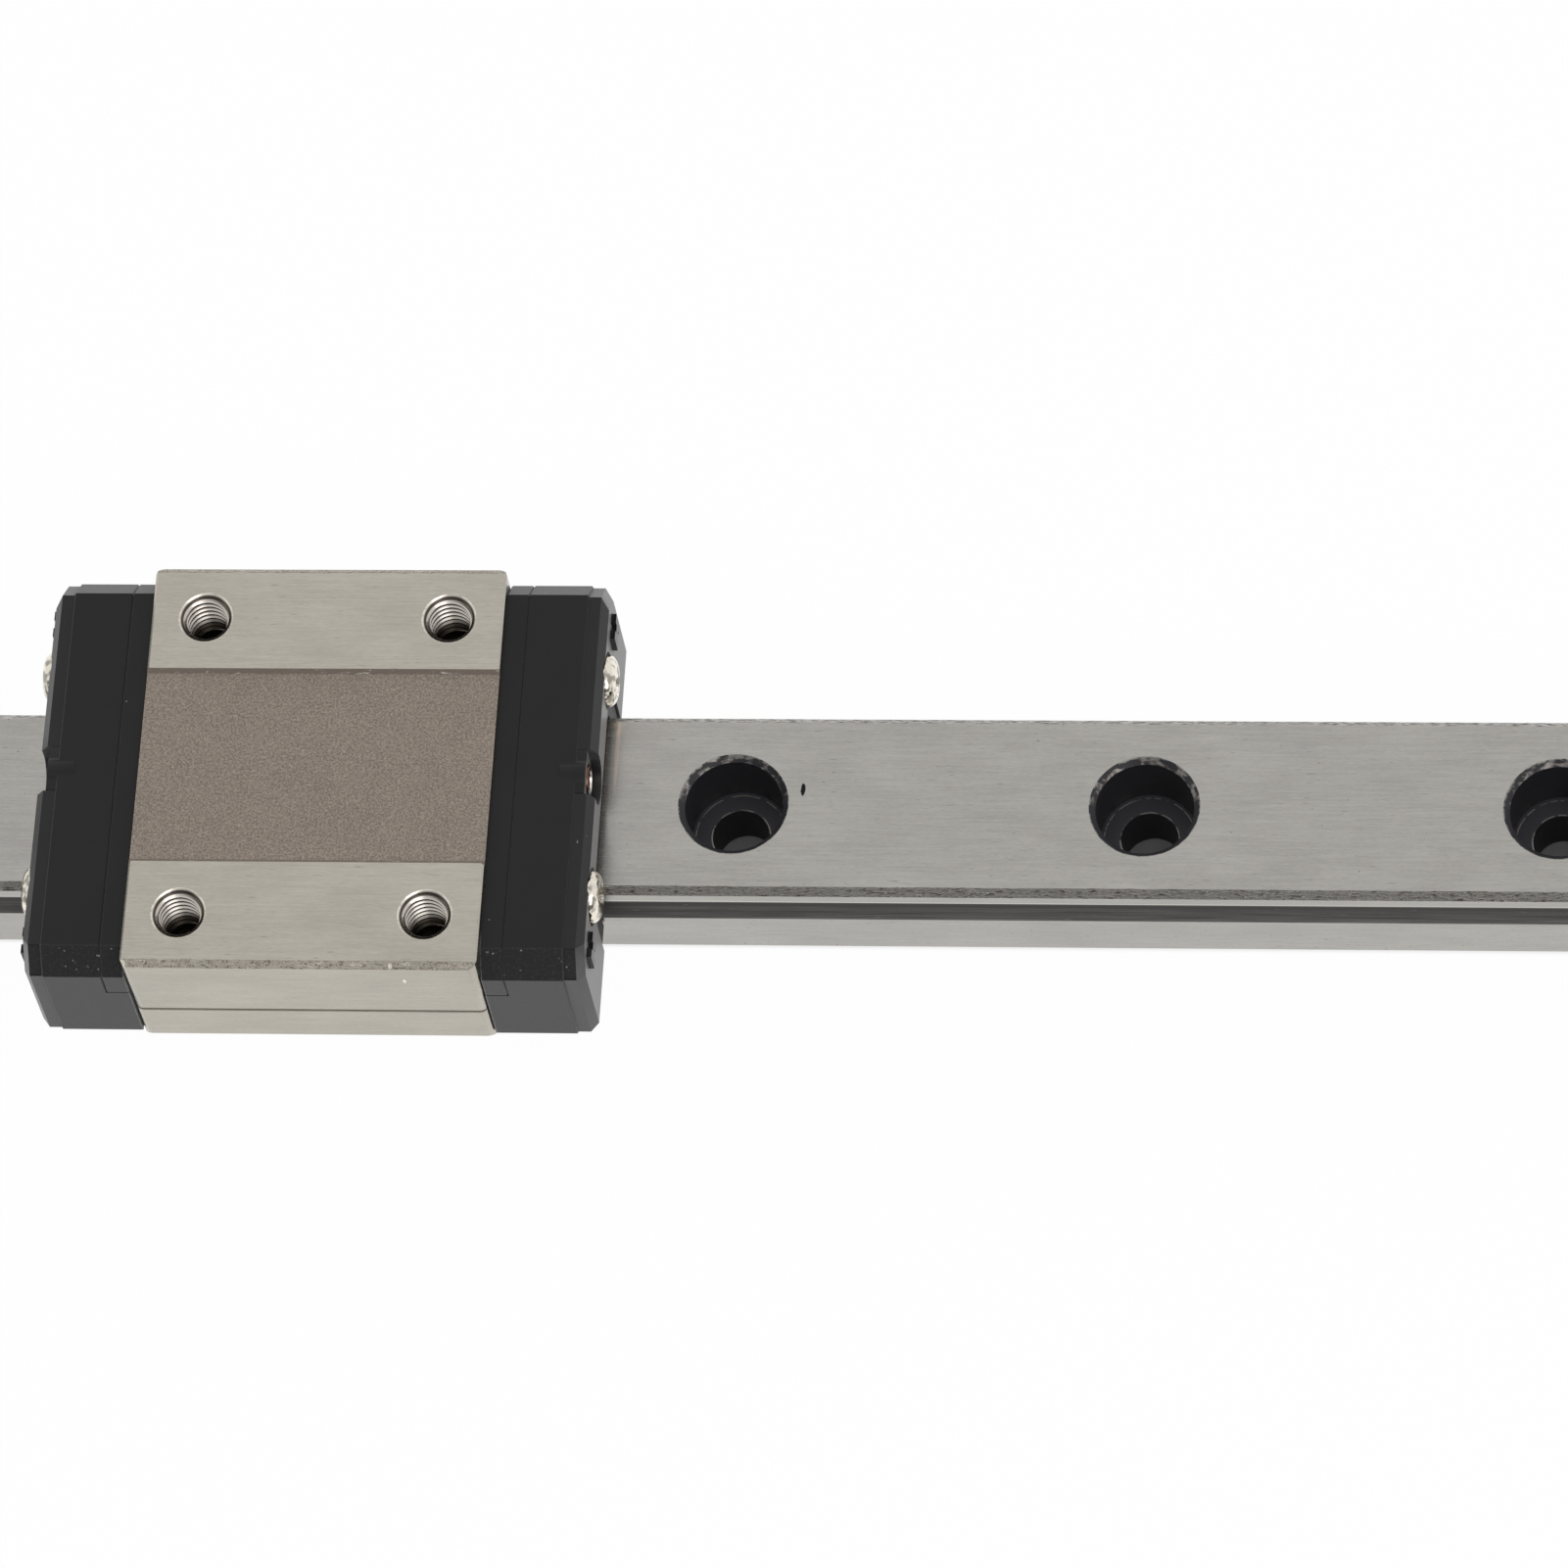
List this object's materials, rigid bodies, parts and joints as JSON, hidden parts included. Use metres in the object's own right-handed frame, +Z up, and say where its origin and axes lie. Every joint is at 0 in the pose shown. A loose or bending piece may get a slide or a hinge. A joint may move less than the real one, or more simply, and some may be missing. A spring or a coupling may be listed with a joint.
{
  "type": "profile linear guide rail with carriage",
  "caption": "Miniature ground-steel profile rail with counterbored fixing holes and a recirculating-ball carriage that slides along it.",
  "frame": {"origin": "middle of the rail's bottom face, which is the middle of its length and of its width", "axes": "+X along the rail, +Y across it towards the back, +Z up out of the fixing holes"},
  "size_m": [0.15, 0.027, 0.013],
  "materials": {
    "rail_steel": "ground, with fine lengthwise marks",
    "block_steel": "ground pads, blasted recess",
    "cap_plastic": "moulded, matte black",
    "guide_plastic": "moulded, matte black",
    "seal_plastic": "moulded, satin dark grey",
    "lip_rubber": "moulded rubber, matt black",
    "port_brass": "turned, dull",
    "screw_steel": "nickel plated",
    "ball_steel": "polished"
  },
  "bodies": {
    "rail": {"guide_rail": "rail_steel"},
    "carriage": {"carriage_block": "block_steel", "turn_guide_left": "guide_plastic", "turn_guide_right": "guide_plastic", "end_cap_left": "cap_plastic", "end_cap_right": "cap_plastic", "end_seal_left": "seal_plastic", "end_seal_right": "seal_plastic", "seal_lip_left": "lip_rubber", "seal_lip_right": "lip_rubber", "grease_port_left": "port_brass", "grease_port_right": "port_brass", "cap_screw_left_front": "screw_steel", "cap_screw_left_back": "screw_steel", "cap_screw_right_front": "screw_steel", "cap_screw_right_back": "screw_steel", "balls_front": "ball_steel", "balls_back": "ball_steel"}
  },
  "joints": [
    {"name": "carriage_slide", "type": "slide", "parent": "rail", "child": "carriage", "axis": [1, 0, 0], "range_m": [-0.0204, 0.0954]}
  ]
}
